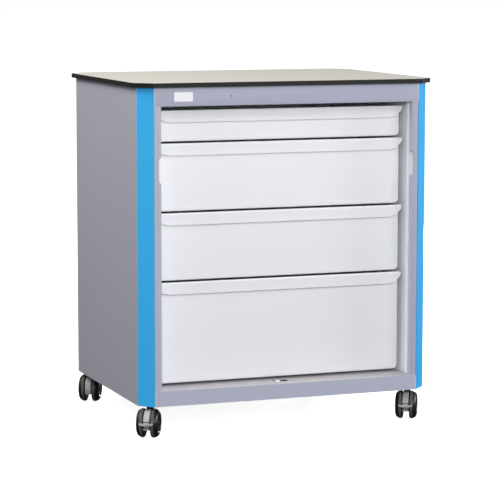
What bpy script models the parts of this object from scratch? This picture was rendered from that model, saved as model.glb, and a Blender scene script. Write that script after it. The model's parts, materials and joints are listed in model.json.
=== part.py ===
"""Ward drawer cabinet on castors: steel carcass with blue corner posts, four
moulded drawers on slides, a tambour shutter parked under the worktop, and
four twin-wheel castors.  Metres, +Z up, front faces -Y, floor at z = 0."""

from math import cos, pi, radians, sin, sqrt, tan

import bmesh
import bpy
from mathutils import Matrix, Vector

MM = 0.001
GAP = 0.3 * MM  # running gap between pieces that touch
SHEET = 1.2 * MM  # steel sheet of the carcass

# carcass
WIDTH = 680 * MM
DEPTH = 520 * MM
CHAMFER = 30 * MM  # leg of the 45 degree corner posts
FLOOR_TO_CARCASS = 70 * MM
CARCASS_TOP = 762 * MM
OVERHANG = 10 * MM
WORKTOP = 10 * MM
WORKTOP_ROUND = 6 * MM
RETURN = 12 * MM  # folded edge of a panel
POST_WALL = 2.5 * MM
POST_LEG = 14 * MM
PLINTH_INSET = 14.5 * MM  # plinth's edge, in from the posts' outer faces
PLINTH_CORNER = 20.4 * MM
PLINTH_LAP = 0.2 * MM
PLINTH_WALL = 1.5 * MM

# front opening
OPEN_HALF = 294 * MM
OPEN_LOW = 104 * MM
OPEN_HIGH = 721 * MM
NOTCH_LOW = 560 * MM
NOTCH_HIGH = 608 * MM
NOTCH_DEEP = 5 * MM

# fittings on the front
SIGHT_HOLE = (-134.7 * MM, 741.8 * MM)  # x, z
SIGHT_RADIUS = 1.8 * MM
LABEL_LOW = (-265.5 * MM, 731.5 * MM)  # x, z
LABEL_HIGH = (-222.5 * MM, 751.5 * MM)
LABEL_THICK = 0.8 * MM

# strike for the closed shutter, let into the plinth
STRIKE_SPOT = (-12 * MM, -224 * MM)  # x, y
STRIKE_LEFT = 10 * MM  # cup's reach to each side of the stud
STRIKE_RIGHT = 24 * MM
STRIKE_HALF = 9 * MM
STRIKE_DEEP = 12 * MM
STRIKE_WALL = 1.2 * MM
STRIKE_SUNK = 0.2 * MM

# drawers, from the top: upper edge and lower edge
DRAWERS = (
    ("drawer_top_shallow", 710 * MM, 642 * MM),
    ("drawer_upper_medium", 638 * MM, 490 * MM),
    ("drawer_lower_medium", 486 * MM, 338 * MM),
    ("drawer_bottom_deep", 334 * MM, 111 * MM),
)
DRAWER_HALF = 286 * MM
DRAWER_LENGTH = 398 * MM
DRAWER_FRONT = 52 * MM  # body's front face, behind the cabinet's front
LIP_FRONT = 45 * MM
LIP_HALF = 291 * MM
LIP_HEIGHT = 26 * MM
RIM_HALF = 290 * MM
DRAWER_WALL = 3 * MM
DRAWER_ROUND = 10 * MM  # lower corners, seen from the front
EDGE_ROUND = 3 * MM
RIM_THICK = 3 * MM
RIM_ROUND = 6 * MM
RIM_SETBACK = 2 * MM
RIM_BEHIND = 8 * MM  # how far the rim runs past the body at the rear
LIP_ROUND = 2 * MM
CLEAR = 10 * MM  # how far a cutter runs past the face it opens

# slides
SLIDE_FRONT = 100 * MM
SLIDE_LENGTH = 340 * MM
SLIDE_BELOW_RIM = 34 * MM
CHANNEL_TALL = 36 * MM
RAIL_TALL = 29 * MM
CHANNEL_DEEP = 8.4 * MM
RAIL_DEEP = 7.7 * MM
LINER_FACE = 296.5 * MM
LINER_FRONT = 54.5 * MM
LINER_REAR = 460 * MM
LINER_FLANGE = 20 * MM

# tambour shutter and its guides
TRACK_FRONT = 23 * MM  # track's centre line behind the cabinet's front
TRACK_REAR = 478 * MM
TRACK_TOP = 752 * MM
TRACK_BEND = 16 * MM
TRACK_WIDE = 13 * MM
TRACK_DEEP = 7 * MM
TRACK_TAIL = 560 * MM
TRACK_FOOT = 109 * MM
GUIDE_FACE = 296 * MM
GUIDE_THICK = 12 * MM
GUIDE_ARM = 717 * MM  # underside of the guide's horizontal arm
GUIDE_BEND = 40 * MM
GUIDE_FRONT = 13 * MM
GUIDE_SHOULDER = 54 * MM
GUIDE_OVER = 8.5 * MM  # guide above the track's centre line
GUIDE_AROUND = 12 * MM  # guide on each side of the rear track
GUIDE_BELOW = 8 * MM
GUIDE_ROUND = 14 * MM
GUIDE_TAIL_ROUND = 3 * MM
CURTAIN = 8 * MM
CURTAIN_HALF = 301.5 * MM
CURTAIN_STRETCH = 1.7 * MM  # top of the moving stretch, above the bar
CURTAIN_STORE = 2 * MM  # foot of the parked length, above the bar
CURTAIN_TAIL = 20 * MM
BAR_LOW = 722 * MM
BAR_TALL = 12 * MM
BAR_HALF = 282 * MM
BAR_DEEP = 13 * MM

# castors: name, stem x, stem y, heading of the axle in degrees, has a brake
CASTORS = (
    ("front_left", -307.5 * MM, -218 * MM, -29.5, True),
    ("front_right", 307.5 * MM, -218 * MM, -29, True),
    ("rear_left", -307.5 * MM, 228 * MM, -28.5, False),
    ("rear_right", 307.5 * MM, 228 * MM, -29, False),
)
WHEEL_RADIUS = 31.75 * MM
WHEEL_WIDE = 17 * MM
WHEEL_INNER = 7.2 * MM  # wheel's inner face from the castor's middle
TRAIL = 18 * MM
WEB_RADIUS = 30.2 * MM
WEB_HALF = 6.5 * MM
WEB_FOOT = 20 * MM
AXLE_RADIUS = 3.8 * MM
AXLE_HALF = 18 * MM
AXLE_PLAY = 0.4 * MM
HUB_DEPTH = 12.5 * MM  # blind end of a wheel's bore
COLLAR_RADIUS = 8 * MM
COLLAR_LOW = 58 * MM
NECK_LOW = 42 * MM
NECK_HIGH = 62 * MM
NECK_INSET = 0.2 * MM
STEM_RADIUS = 4 * MM
STEM_LOW = 47 * MM
STEM_HIGH = 82 * MM
BORE_LOW = 46.5 * MM
BORE_HIGH = 75 * MM
FLANGE_RADIUS = 14 * MM
FLANGE_THICK = 3 * MM
PEDAL_PIVOT = 23 * MM  # behind the axle
PEDAL_RISE = 3 * MM  # above the axle
PEDAL_HALF = 16 * MM
SLOT_HALF = 10 * MM

FRONT = -DEPTH / 2


def clear_scene():
    for item in list(bpy.data.objects):
        bpy.data.objects.remove(item, do_unlink=True)


def collection(name):
    made = bpy.data.collections.new(name)
    bpy.context.scene.collection.children.link(made)
    return made


clear_scene()
PARTS = collection("ward_drawer_cabinet")
CUTTERS = collection("cutters")


def material(name, colour, roughness, metallic=0.0):
    made = bpy.data.materials.new(name)
    made.use_nodes = True
    shader = made.node_tree.nodes["Principled BSDF"]
    shader.inputs["Base Color"].default_value = (*colour, 1)
    shader.inputs["Roughness"].default_value = roughness
    shader.inputs["Metallic"].default_value = metallic
    return made


GREY_PAINT = material("silver_grey_paint", (0.42, 0.44, 0.54), 0.5)
LINER_PAINT = material("liner_paint", (0.50, 0.52, 0.55), 0.5)
BLUE_PAINT = material("blue_paint", (0.03, 0.36, 0.78), 0.4)
LAMINATE = material("compact_laminate", (0.62, 0.60, 0.54), 0.45)
DRAWER_PLASTIC = material("white_moulded_plastic", (0.80, 0.80, 0.80), 0.4)
GUIDE_PLASTIC = material("grey_guide_plastic", (0.55, 0.57, 0.60), 0.4)
ZINC = material("zinc_plated_steel", (0.60, 0.60, 0.62), 0.3, 1.0)
BLACK_STEEL = material("black_plated_steel", (0.03, 0.03, 0.035), 0.4, 1.0)
TYRE = material("dark_grey_tyre", (0.03, 0.03, 0.03), 0.6)
CASTOR_GREY = material("castor_grey_plastic", (0.40, 0.39, 0.41), 0.45)
BAR_DARK = material("dark_anodised_bar", (0.06, 0.06, 0.07), 0.35, 1.0)
CURTAIN_GREY = material("shutter_slat_plastic", (0.45, 0.47, 0.52), 0.5)
STUD_WHITE = material("white_stud_plastic", (0.85, 0.85, 0.85), 0.3)


def place(name, mesh, finish=None, parent=None, spot=(0, 0, 0), smooth=None):
    """Add a mesh as a named piece, or as a cutter when it has no finish."""
    piece = bpy.data.objects.new(name, mesh)
    piece.location = spot
    if finish is None:
        CUTTERS.objects.link(piece)
        piece.hide_render = True
        piece.display_type = "WIRE"
    else:
        PARTS.objects.link(piece)
        mesh.materials.clear()
        mesh.materials.append(finish)
    if parent is not None:
        piece.parent = parent
    if smooth is not None:
        mesh.shade_smooth()
        mesh.set_sharp_from_angle(angle=radians(smooth))
    return piece


def bmesh_to_mesh(name, work):
    bmesh.ops.recalc_face_normals(work, faces=work.faces)
    mesh = bpy.data.meshes.new(name)
    work.to_mesh(mesh)
    work.free()
    return mesh


def box_mesh(name, low, high, round_edges=None, radius=0.0):
    """A box between two corners; round_edges picks the edges to round."""
    low, high = Vector(low), Vector(high)
    size, middle = high - low, (high + low) / 2
    work = bmesh.new()
    shape = Matrix.Translation(middle) @ Matrix.Diagonal((*size, 1))
    bmesh.ops.create_cube(work, size=1.0, matrix=shape)
    if round_edges:
        chosen = [e for e in work.edges if round_edges(e, middle)]
        bmesh.ops.bevel(
            work, geom=chosen, offset=radius, segments=3, profile=0.5, affect="EDGES"
        )
    return bmesh_to_mesh(name, work)


def box(name, low, high, finish=None, parent=None):
    return place(name, box_mesh(name, low, high), finish, parent)


def fillet(points, radii, steps=4):
    """Round the corners of an outline; radii holds one radius per corner."""
    rounded = []
    count = len(points)
    for i, (point, radius) in enumerate(zip(points, radii)):
        corner = Vector(point)
        if radius == 0:
            rounded.append(corner)
            continue
        back = (Vector(points[i - 1]) - corner).normalized()
        ahead = (Vector(points[(i + 1) % count]) - corner).normalized()
        half = back.angle(ahead) / 2
        reach = radius / tan(half)
        centre = corner + (back + ahead).normalized() * radius / sin(half)
        start = corner + back * reach - centre
        stop = corner + ahead * reach - centre
        turn = start.angle_signed(stop)
        for k in range(steps + 1):
            rounded.append(centre + Matrix.Rotation(-turn * k / steps, 2) @ start)
    return rounded


def arc(centre, radius, start, stop, steps):
    """Points on an arc, angles in degrees."""
    angles = [radians(start + (stop - start) * k / steps) for k in range(steps + 1)]
    return [Vector((centre[0] + radius * cos(a), centre[1] + radius * sin(a))) for a in angles]


AXES = {
    "Z": Matrix.Identity(4),  # outline in X, Y
    "X": Matrix(((0, 0, 1, 0), (1, 0, 0, 0), (0, 1, 0, 0), (0, 0, 0, 1))),  # in Y, Z
    "Y": Matrix(((1, 0, 0, 0), (0, 0, -1, 0), (0, 1, 0, 0), (0, 0, 0, 1))),  # in X, Z
}


def outline_mesh(name, points, along, low, high):
    """A flat outline drawn out between low and high along one axis."""
    curve = bpy.data.curves.new(name, "CURVE")
    curve.dimensions = "2D"
    curve.fill_mode = "BOTH"
    curve.extrude = (high - low) / 2
    spline = curve.splines.new("POLY")
    spline.points.add(len(points) - 1)
    for spot, point in zip(spline.points, points):
        spot.co = (point[0], point[1], 0, 1)
    spline.use_cyclic_u = True
    holder = bpy.data.objects.new(name, curve)
    PARTS.objects.link(holder)
    bpy.context.view_layer.update()
    seen = holder.evaluated_get(bpy.context.evaluated_depsgraph_get())
    mesh = bpy.data.meshes.new_from_object(seen)
    bpy.data.objects.remove(holder, do_unlink=True)
    bpy.data.curves.remove(curve)
    middle = (high + low) / 2 * (-1 if along == "Y" else 1)
    mesh.transform(AXES[along] @ Matrix.Translation((0, 0, middle)))
    work = bmesh.new()
    work.from_mesh(mesh)
    bmesh.ops.remove_doubles(work, verts=work.verts, dist=1e-6)
    bpy.data.meshes.remove(mesh)
    return bmesh_to_mesh(name, work)


def drawn(name, points, along, low, high, finish=None, parent=None, smooth=None):
    mesh = outline_mesh(name, points, along, low, high)
    return place(name, mesh, finish, parent, smooth=smooth)


def cylinder(name, radius, low, high, segments=24, finish=None, parent=None, spot=(0, 0, 0)):
    """An upright cylinder between two heights."""
    work = bmesh.new()
    bmesh.ops.create_cone(
        work,
        cap_ends=True,
        segments=segments,
        radius1=radius,
        radius2=radius,
        depth=high - low,
        matrix=Matrix.Translation((0, 0, (high + low) / 2)),
    )
    return place(name, bmesh_to_mesh(name, work), finish, parent, spot)


def combine(piece, other, how):
    """A Boolean of one piece with a cutter, kept as a modifier."""
    step = piece.modifiers.new(f"{how}_{other.name}"[:60], "BOOLEAN")
    step.operation = how
    step.object = other
    step.solver = "EXACT"


def cut(piece, *others):
    for other in others:
        combine(piece, other, "DIFFERENCE")


def join(piece, *others):
    for other in others:
        combine(piece, other, "UNION")


def mirror_x(points, side):
    """Outline points for the left side (side -1) or the right side (side 1)."""
    return [(x * side, y) for x, y in points]


# ---------------------------------------------------------------- carcass


def chamfered(half_x, half_y, leg, radius):
    """An outline with four 45 degree corners, each corner point rounded."""
    points = []
    for sx, sy in ((1, 1), (-1, 1), (-1, -1), (1, -1)):
        near_x = (sx * half_x, sy * (half_y - leg))
        near_y = (sx * (half_x - leg), sy * half_y)
        points += [near_x, near_y] if sx == sy else [near_y, near_x]
    return fillet(points, [radius] * len(points), steps=3)


def make_worktop():
    leg = CHAMFER + OVERHANG * (2 - sqrt(2))
    outline = chamfered(WIDTH / 2 + OVERHANG, DEPTH / 2 + OVERHANG, leg, WORKTOP_ROUND)
    drawn("worktop", outline, "Z", CARCASS_TOP, CARCASS_TOP + WORKTOP, LAMINATE, smooth=40)


def make_corner_posts():
    """Extruded posts: a 45 degree face plate with a leg behind each end."""
    wall, leg = POST_WALL, POST_LEG
    inner = CHAMFER + wall * sqrt(2) - (CHAMFER - wall)
    profile = [
        (0, CHAMFER),
        (CHAMFER, 0),
        (CHAMFER, leg),
        (CHAMFER - wall, leg),
        (CHAMFER - wall, inner),
        (inner, CHAMFER - wall),
        (leg, CHAMFER - wall),
        (leg, CHAMFER),
    ]
    for end, sy in (("front", -1), ("rear", 1)):
        for side, sx in (("left", -1), ("right", 1)):
            points = [(sx * (WIDTH / 2 - u), sy * (DEPTH / 2 - v)) for u, v in profile]
            drawn(
                f"corner_post_{end}_{side}", points, "Z", FLOOR_TO_CARCASS, CARCASS_TOP - GAP, BLUE_PAINT
            )


def channel(length_low, length_high, face, inward, fold):
    """Plan of a folded panel: a straight sheet with a return at each end.

    The sheet's outer face lies at 'face' and the returns point 'inward'."""
    outer, inner = face, face + inward * SHEET
    tip = face + inward * fold
    return [
        (length_low, outer),
        (length_high, outer),
        (length_high, tip),
        (length_high - SHEET, tip),
        (length_high - SHEET, inner),
        (length_low + SHEET, inner),
        (length_low + SHEET, tip),
        (length_low, tip),
    ]


def make_side_panels():
    reach = DEPTH / 2 - CHAMFER - GAP
    for side, sx in (("left", -1), ("right", 1)):
        plan = channel(-reach, reach, sx * WIDTH / 2, -sx, RETURN)
        points = [(x, y) for y, x in plan]
        drawn(f"side_panel_{side}", points, "Z", FLOOR_TO_CARCASS, CARCASS_TOP - GAP, GREY_PAINT)


def make_back_panel():
    reach = WIDTH / 2 - CHAMFER - GAP
    plan = channel(-reach, reach, DEPTH / 2, -1, RETURN)
    drawn("back_panel", plan, "Z", FLOOR_TO_CARCASS, CARCASS_TOP - GAP, GREY_PAINT)


def make_base_pan():
    """Box-section plinth, open at its back, with the stem holes and the
    strike's recess."""
    half_x, half_y = WIDTH / 2, DEPTH / 2
    step, slope, wall = PLINTH_INSET, PLINTH_CORNER, PLINTH_WALL
    front_half = half_x - CHAMFER - GAP
    corner = [
        (half_x - step, slope),
        (half_x - slope, step),
        (front_half, step - PLINTH_LAP),
        (front_half, 0),
    ]
    points = [(x, FRONT + y) for x, y in corner] + [(-x, FRONT + y) for x, y in reversed(corner)]
    points += [(-(half_x - step), half_y - slope), (-(half_x - slope), half_y - step)]
    points += [(half_x - slope, half_y - step), (half_x - step, half_y - slope)]
    pan = drawn("base_pan", points, "Z", FLOOR_TO_CARCASS, OPEN_LOW, GREY_PAINT)
    inside = half_x - slope - wall
    hollow = box(
        "base_pan_hollow",
        (-inside, FRONT + step + wall, FLOOR_TO_CARCASS + wall),
        (inside, half_y, OPEN_LOW - wall),
    )
    cut(pan, hollow)
    for name, x, y, _, _ in CASTORS:
        hole = cylinder(
            f"stem_hole_{name}",
            STEM_RADIUS + GAP,
            FLOOR_TO_CARCASS - wall,
            FLOOR_TO_CARCASS + 2 * wall,
            spot=(x, y, 0),
        )
        cut(pan, hole)
    return pan


def make_strike(pan):
    """A dark cup let into the plinth, with a white stud that the closed
    shutter's bar snaps over."""
    x, y = STRIKE_SPOT
    wall = STRIKE_WALL
    low, top = OPEN_LOW - STRIKE_DEEP, OPEN_LOW - STRIKE_SUNK
    left, right, near, far = x - STRIKE_LEFT, x + STRIKE_RIGHT, y - STRIKE_HALF, y + STRIKE_HALF
    cut(pan, box("strike_opening", (left, near, low), (right, far, OPEN_LOW + wall)))
    cup = box(
        "strike_cup", (left + GAP, near + GAP, low), (right - GAP, far - GAP, top), BAR_DARK
    )
    pocket = box(
        "strike_pocket",
        (left + GAP + wall, near + GAP + wall, low + wall),
        (right - GAP - wall, far - GAP - wall, top + wall),
    )
    cut(cup, pocket)
    stud = [(0, 13.5), (4, 13.3), (6.2, 12), (6.8, 10), (6.8, 1.6), (0, 1.6)]
    turned("strike_stud", stud, 24, STUD_WHITE, spot=(x, y, low))


def turned(name, profile, steps, finish=None, parent=None, spot=(0, 0, 0)):
    """A turned solid about Z from (radius, height) points in millimetres
    that start and end on the axis."""
    mesh = bpy.data.meshes.new(name)
    points = [(r * MM, 0, z * MM) for r, z in profile]
    edges = [(i, i + 1) for i in range(len(points) - 1)]
    mesh.from_pydata(points, edges, [])
    piece = place(name, mesh, finish, parent, spot)
    screw = piece.modifiers.new("turn", "SCREW")
    screw.steps = steps
    screw.render_steps = steps
    screw.use_merge_vertices = True
    screw.merge_threshold = 1e-5
    screw.use_smooth_shade = False
    return piece


def make_stiles():
    """Folded uprights beside the opening, notched where the shutter's ends
    are fed into their tracks."""
    outer = WIDTH / 2 - CHAMFER - GAP
    for side, sx in (("left", -1), ("right", 1)):
        near, deep = FRONT, FRONT + RETURN
        plan = [
            (outer, near),
            (OPEN_HALF, near),
            (OPEN_HALF, deep),
            (OPEN_HALF + SHEET, deep),
            (OPEN_HALF + SHEET, near + SHEET),
            (outer - SHEET, near + SHEET),
            (outer - SHEET, deep),
            (outer, deep),
        ]
        radii = [3 * MM, 1.5 * MM, 0, 0, 0.3 * MM, 1.8 * MM, 0, 0]
        points = mirror_x(fillet(plan, radii, steps=3), sx)
        stile = drawn(
            f"stile_{side}", points, "Z", OPEN_LOW + GAP, OPEN_HIGH - GAP, GREY_PAINT, smooth=35
        )
        notch = [
            (OPEN_HALF - NOTCH_DEEP, NOTCH_LOW - 2 * NOTCH_DEEP),
            (OPEN_HALF + NOTCH_DEEP, NOTCH_LOW),
            (OPEN_HALF + NOTCH_DEEP, NOTCH_HIGH),
            (OPEN_HALF - NOTCH_DEEP, NOTCH_HIGH + 2 * NOTCH_DEEP),
        ]
        points = mirror_x(notch, sx)
        cut(stile, drawn(f"notch_{side}", points, "Y", FRONT - SHEET, deep + SHEET))


def make_fascia():
    """Folded rail over the opening, with a small sight hole."""
    half = WIDTH / 2 - CHAMFER - GAP
    low, high = OPEN_HIGH, CARCASS_TOP - GAP
    near, deep = FRONT, FRONT + RETURN
    section = [
        (near, low),
        (near, high),
        (deep, high),
        (deep, high - SHEET),
        (near + SHEET, high - SHEET),
        (near + SHEET, low + SHEET),
        (deep, low + SHEET),
        (deep, low),
    ]
    radii = [1.5 * MM, 0, 0, 0, 0, 0.3 * MM, 0, 0]
    rail = drawn("fascia_rail", fillet(section, radii, 3), "X", -half, half, GREY_PAINT, smooth=35)
    hole = cylinder("sight_hole", SIGHT_RADIUS, -4 * MM, 4 * MM, segments=16)
    hole.rotation_euler = (radians(90), 0, 0)
    hole.location = (SIGHT_HOLE[0], FRONT, SIGHT_HOLE[1])
    cut(rail, hole)


def make_label_plate():
    near = FRONT - GAP
    box(
        "label_plate",
        (LABEL_LOW[0], near - LABEL_THICK, LABEL_LOW[1]),
        (LABEL_HIGH[0], near, LABEL_HIGH[1]),
        STUD_WHITE,
    )


def make_liners():
    """Inner walls that carry the slides: a flat sheet on a bottom flange,
    its upper front corner cut clear of the guide's inner curve."""
    near, far = FRONT + LINER_FRONT, FRONT + LINER_REAR
    low, high = OPEN_LOW + GAP, GUIDE_ARM - 0.5 * MM
    bend = GUIDE_BEND
    corner = [(near - MM, high + MM), (near - MM, high - bend), (near, high - bend)]
    corner += arc((near + bend, high - bend), bend, 180, 90, 8)[1:]
    corner.append((near + bend, high + MM))
    inner, outer, edge = LINER_FACE, LINER_FACE + SHEET, LINER_FACE + LINER_FLANGE
    section = [(inner, low), (inner, high), (outer, high), (outer, low + SHEET)]
    section += [(edge, low + SHEET), (edge, low)]
    for side, sx in (("left", -1), ("right", 1)):
        points = mirror_x(section, sx)
        wall = drawn(f"inner_liner_{side}", points, "Y", near, far, LINER_PAINT)
        reach = sorted((sx * (inner - MM), sx * (outer + MM)))
        cut(wall, drawn(f"liner_corner_{side}", corner, "X", *reach))


# ---------------------------------------------------------------- shutter


def track_outline(half, tail, foot, foot_round=False):
    """The shutter's path as a band: up behind the front, back under the
    worktop and down behind the drawers.  Points are (y, z)."""
    front, rear = FRONT + TRACK_FRONT, FRONT + TRACK_REAR
    bend = TRACK_TOP - TRACK_BEND
    outer = [Vector((front - half, foot))]
    outer += arc((front + TRACK_BEND, bend), TRACK_BEND + half, 180, 90, 5)
    outer += arc((rear - TRACK_BEND, bend), TRACK_BEND + half, 90, 0, 5)
    outer.append(Vector((rear + half, tail)))
    inner = [Vector((rear - half, tail))]
    inner += arc((rear - TRACK_BEND, bend), TRACK_BEND - half, 0, 90, 5)
    inner += arc((front + TRACK_BEND, bend), TRACK_BEND - half, 90, 180, 5)
    inner.append(Vector((front + half, foot)))
    ends = arc((front, foot), half, 0, -180, 6)[1:-1] if foot_round else []
    return outer + inner + ends


def make_shutter_guides():
    """Moulded guide plates with the shutter's track let into their faces."""
    front, rear = FRONT + TRACK_FRONT, FRONT + TRACK_REAR
    near, shoulder = FRONT + GUIDE_FRONT, FRONT + GUIDE_SHOULDER
    top, tail = TRACK_TOP + GUIDE_OVER, TRACK_TAIL - GUIDE_BELOW
    plate = [
        (near, OPEN_LOW + GAP),
        (near, top),
        (rear + GUIDE_AROUND, top),
        (rear + GUIDE_AROUND, tail),
        (rear - GUIDE_AROUND, tail),
        (rear - GUIDE_AROUND, GUIDE_ARM),
        (shoulder, GUIDE_ARM),
        (shoulder, OPEN_LOW + GAP),
    ]
    big, small = GUIDE_ROUND, GUIDE_TAIL_ROUND
    radii = [0, big, big, small, small, 0, GUIDE_BEND + GAP, 0]
    outline = fillet(plate, radii, steps=7)
    groove = track_outline(TRACK_WIDE / 2, TRACK_TAIL, TRACK_FOOT, foot_round=True)
    for side, sx in (("left", -1), ("right", 1)):
        low, high = sorted((sx * GUIDE_FACE, sx * (GUIDE_FACE + GUIDE_THICK)))
        guide = drawn(f"shutter_guide_{side}", outline, "X", low, high, GUIDE_PLASTIC, smooth=30)
        low, high = sorted((sx * (GUIDE_FACE - MM), sx * (GUIDE_FACE + TRACK_DEEP)))
        cut(guide, drawn(f"track_{side}", groove, "X", low, high))


def make_shutter():
    """The closing bar with a tongue at each end, and the slatted curtain:
    a short stretch behind the fascia and the length parked round the track."""
    middle = FRONT + TRACK_FRONT
    low, high = BAR_LOW, BAR_LOW + BAR_TALL
    bar = box(
        "shutter_bar",
        (-BAR_HALF, middle - BAR_DEEP / 2, low),
        (BAR_HALF, middle + BAR_DEEP / 2, high),
        BAR_DARK,
    )
    tongue = box(
        "bar_tongue",
        (-CURTAIN_HALF, middle - CURTAIN / 2, low + MM),
        (CURTAIN_HALF, middle + CURTAIN / 2, high - MM),
    )
    join(bar, tongue)
    box(
        "shutter_curtain",
        (-CURTAIN_HALF, middle - CURTAIN / 2, high + GAP),
        (CURTAIN_HALF, middle + CURTAIN / 2, high + CURTAIN_STRETCH),
        CURTAIN_GREY,
    )
    parked = track_outline(CURTAIN / 2, TRACK_TAIL + CURTAIN_TAIL, high + CURTAIN_STORE)
    drawn("shutter_curtain_parked", parked, "X", -CURTAIN_HALF, CURTAIN_HALF, CURTAIN_GREY)


# ---------------------------------------------------------------- drawers


def lip_outline(top):
    """Front view of a drawer's lip: its ends sweep in to the body's sides
    and its lower edge curves up to meet them."""
    half, low = LIP_HALF, top - LIP_HEIGHT
    right = [
        (half - 1.5 * MM, top),
        (half, top - 1.5 * MM),
        (half, top - 5 * MM),
    ]
    right += [(p.x, p.y) for p in arc((half - 9 * MM, top - 5 * MM), 9 * MM, 0, -62, 4)[1:]]
    right += [
        (half - 8 * MM, top - 15.5 * MM),
        (half - 12 * MM, top - 19.5 * MM),
        (half - 17 * MM, top - 23 * MM),
        (half - 23 * MM, top - 25.3 * MM),
        (half - 31 * MM, low),
    ]
    return right + [(-x, z) for x, z in reversed(right)]


def tray_mesh(name, half, low, high, near, far, corner):
    """A block with rounded lower corners, drawn out from front to rear."""
    points = [(-half, high), (-half, low), (half, low), (half, high)]
    outline = fillet(points, [0, corner, corner, 0], steps=4)
    return outline_mesh(name, outline, "Y", near, far)


def make_drawer(name, top, low):
    near = FRONT + DRAWER_FRONT
    far = near + DRAWER_LENGTH
    half, wall = DRAWER_HALF, DRAWER_WALL
    body_mesh = tray_mesh(name, half, low, top - RIM_THICK / 2, near, far, DRAWER_ROUND)
    for face_y in (near, far):
        round_face_edges(body_mesh, face_y, EDGE_ROUND)
    body = place(name, body_mesh, DRAWER_PLASTIC, smooth=35)
    rim_mesh = box_mesh(
        f"{name}_rim",
        (-RIM_HALF, near + RIM_SETBACK, top - RIM_THICK),
        (RIM_HALF, far + RIM_BEHIND, top),
        lambda edge, middle: abs(edge.verts[0].co.z - edge.verts[1].co.z) > MM,
        RIM_ROUND,
    )
    lip_mesh = outline_mesh(
        f"{name}_lip", lip_outline(top), "Y", FRONT + LIP_FRONT, near + 2 * wall
    )
    round_face_edges(lip_mesh, FRONT + LIP_FRONT, LIP_ROUND)
    hollow_mesh = tray_mesh(
        f"{name}_hollow",
        half - wall,
        low + wall,
        top + CLEAR,
        near + wall,
        far - wall,
        DRAWER_ROUND - wall,
    )
    join(body, place(f"{name}_rim", rim_mesh), place(f"{name}_lip", lip_mesh))
    cut(body, place(f"{name}_hollow", hollow_mesh))


def round_face_edges(mesh, face_y, radius):
    """Round the edges around the face of a piece that lies at face_y."""
    work = bmesh.new()
    work.from_mesh(mesh)
    bmesh.ops.dissolve_limit(
        work, angle_limit=radians(1), verts=work.verts, edges=work.edges
    )
    face = next(f for f in work.faces if all(abs(v.co.y - face_y) < 1e-5 for v in f.verts))
    rim = list(face.edges)
    bmesh.ops.bevel(work, geom=rim, offset=radius, segments=2, profile=0.5, affect="EDGES")
    work.to_mesh(mesh)
    work.free()


def c_section(face, inward, depth, middle, tall):
    """A C-shaped rail section, web on 'face', flanges pointing 'inward'."""
    back, front, tip = face, face + inward * SHEET, face + inward * depth
    low, high = middle - tall / 2, middle + tall / 2
    return [
        (back, low),
        (back, high),
        (tip, high),
        (tip, high - SHEET),
        (front, high - SHEET),
        (front, low + SHEET),
        (tip, low + SHEET),
        (tip, low),
    ]


def make_slides(name, top):
    """A channel on the liner and a rail on the drawer, each side."""
    short = name.replace("drawer_", "")
    middle = top - SLIDE_BELOW_RIM
    near = FRONT + SLIDE_FRONT
    for side, sx in (("left", -1), ("right", 1)):
        web = sx * (LINER_FACE - GAP)
        points = c_section(web, -sx, CHANNEL_DEEP, middle, CHANNEL_TALL)
        drawn(f"slide_channel_{short}_{side}", points, "Y", near, near + SLIDE_LENGTH, ZINC)
        web = sx * (DRAWER_HALF + GAP)
        points = c_section(web, sx, RAIL_DEEP, middle, RAIL_TALL)
        drawn(f"slide_rail_{short}_{side}", points, "Y", near, near + SLIDE_LENGTH, ZINC)


# ---------------------------------------------------------------- castors


def across(piece):
    """Lay a piece that was made along Z along the castor's axle, X."""
    piece.rotation_euler = (0, radians(90), 0)
    return piece


def make_stem(name, swivel):
    """Threaded stem with a flange, fixed in the plinth."""
    flange_top = (FLOOR_TO_CARCASS - GAP) / MM
    flange_low = flange_top - FLANGE_THICK / MM
    radius, flange = STEM_RADIUS / MM, FLANGE_RADIUS / MM
    foot, tip = STEM_LOW / MM, STEM_HIGH / MM
    profile = [
        (0, tip),
        (radius - 0.8, tip),
        (radius, tip - 1),
        (radius, flange_top),
        (flange, flange_top),
        (flange, flange_low),
        (radius, flange_low),
        (radius, foot),
        (0, foot),
    ]
    turned(f"castor_stem_{name}", profile, 20, BLACK_STEEL, swivel)


def make_housing(name, swivel, has_brake):
    """Central web between the wheels with the stem's collar and the axle."""
    axle_z = WHEEL_RADIUS
    housing = cylinder(
        f"castor_housing_{name}", WEB_RADIUS, -WEB_HALF, WEB_HALF, 36, CASTOR_GREY, swivel
    )
    across(housing)
    housing.location = (0, -TRAIL, axle_z)
    collar_high = FLOOR_TO_CARCASS - FLANGE_THICK - 2 * GAP
    collar = cylinder(f"collar_{name}", COLLAR_RADIUS, COLLAR_LOW, collar_high, 20, parent=swivel)
    neck_radius = WEB_HALF - NECK_INSET
    neck = cylinder(f"neck_{name}", neck_radius, NECK_LOW, NECK_HIGH, 16, parent=swivel)
    axle = cylinder(f"axle_{name}", AXLE_RADIUS, -AXLE_HALF, AXLE_HALF, 16, parent=swivel)
    across(axle)
    axle.location = (0, -TRAIL, axle_z)
    join(housing, neck, collar, axle)
    trim = box(
        f"web_trim_{name}",
        (-20 * MM, -TRAIL - 40 * MM, -5 * MM),
        (20 * MM, -TRAIL + 40 * MM, WEB_FOOT),
        parent=swivel,
    )
    radius = STEM_RADIUS + GAP
    bore = cylinder(f"stem_bore_{name}", radius, BORE_LOW, BORE_HIGH, 16, parent=swivel)
    cut(housing, trim, bore)
    if has_brake:
        reach = TRAIL + PEDAL_PIVOT
        slot = box(
            f"pedal_slot_{name}",
            (-SLOT_HALF, -reach - 12 * MM, axle_z - 7.5 * MM),
            (SLOT_HALF, -reach + 4.5 * MM, axle_z + 7.6 * MM),
            parent=swivel,
        )
        cut(housing, slot)
    return housing


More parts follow.
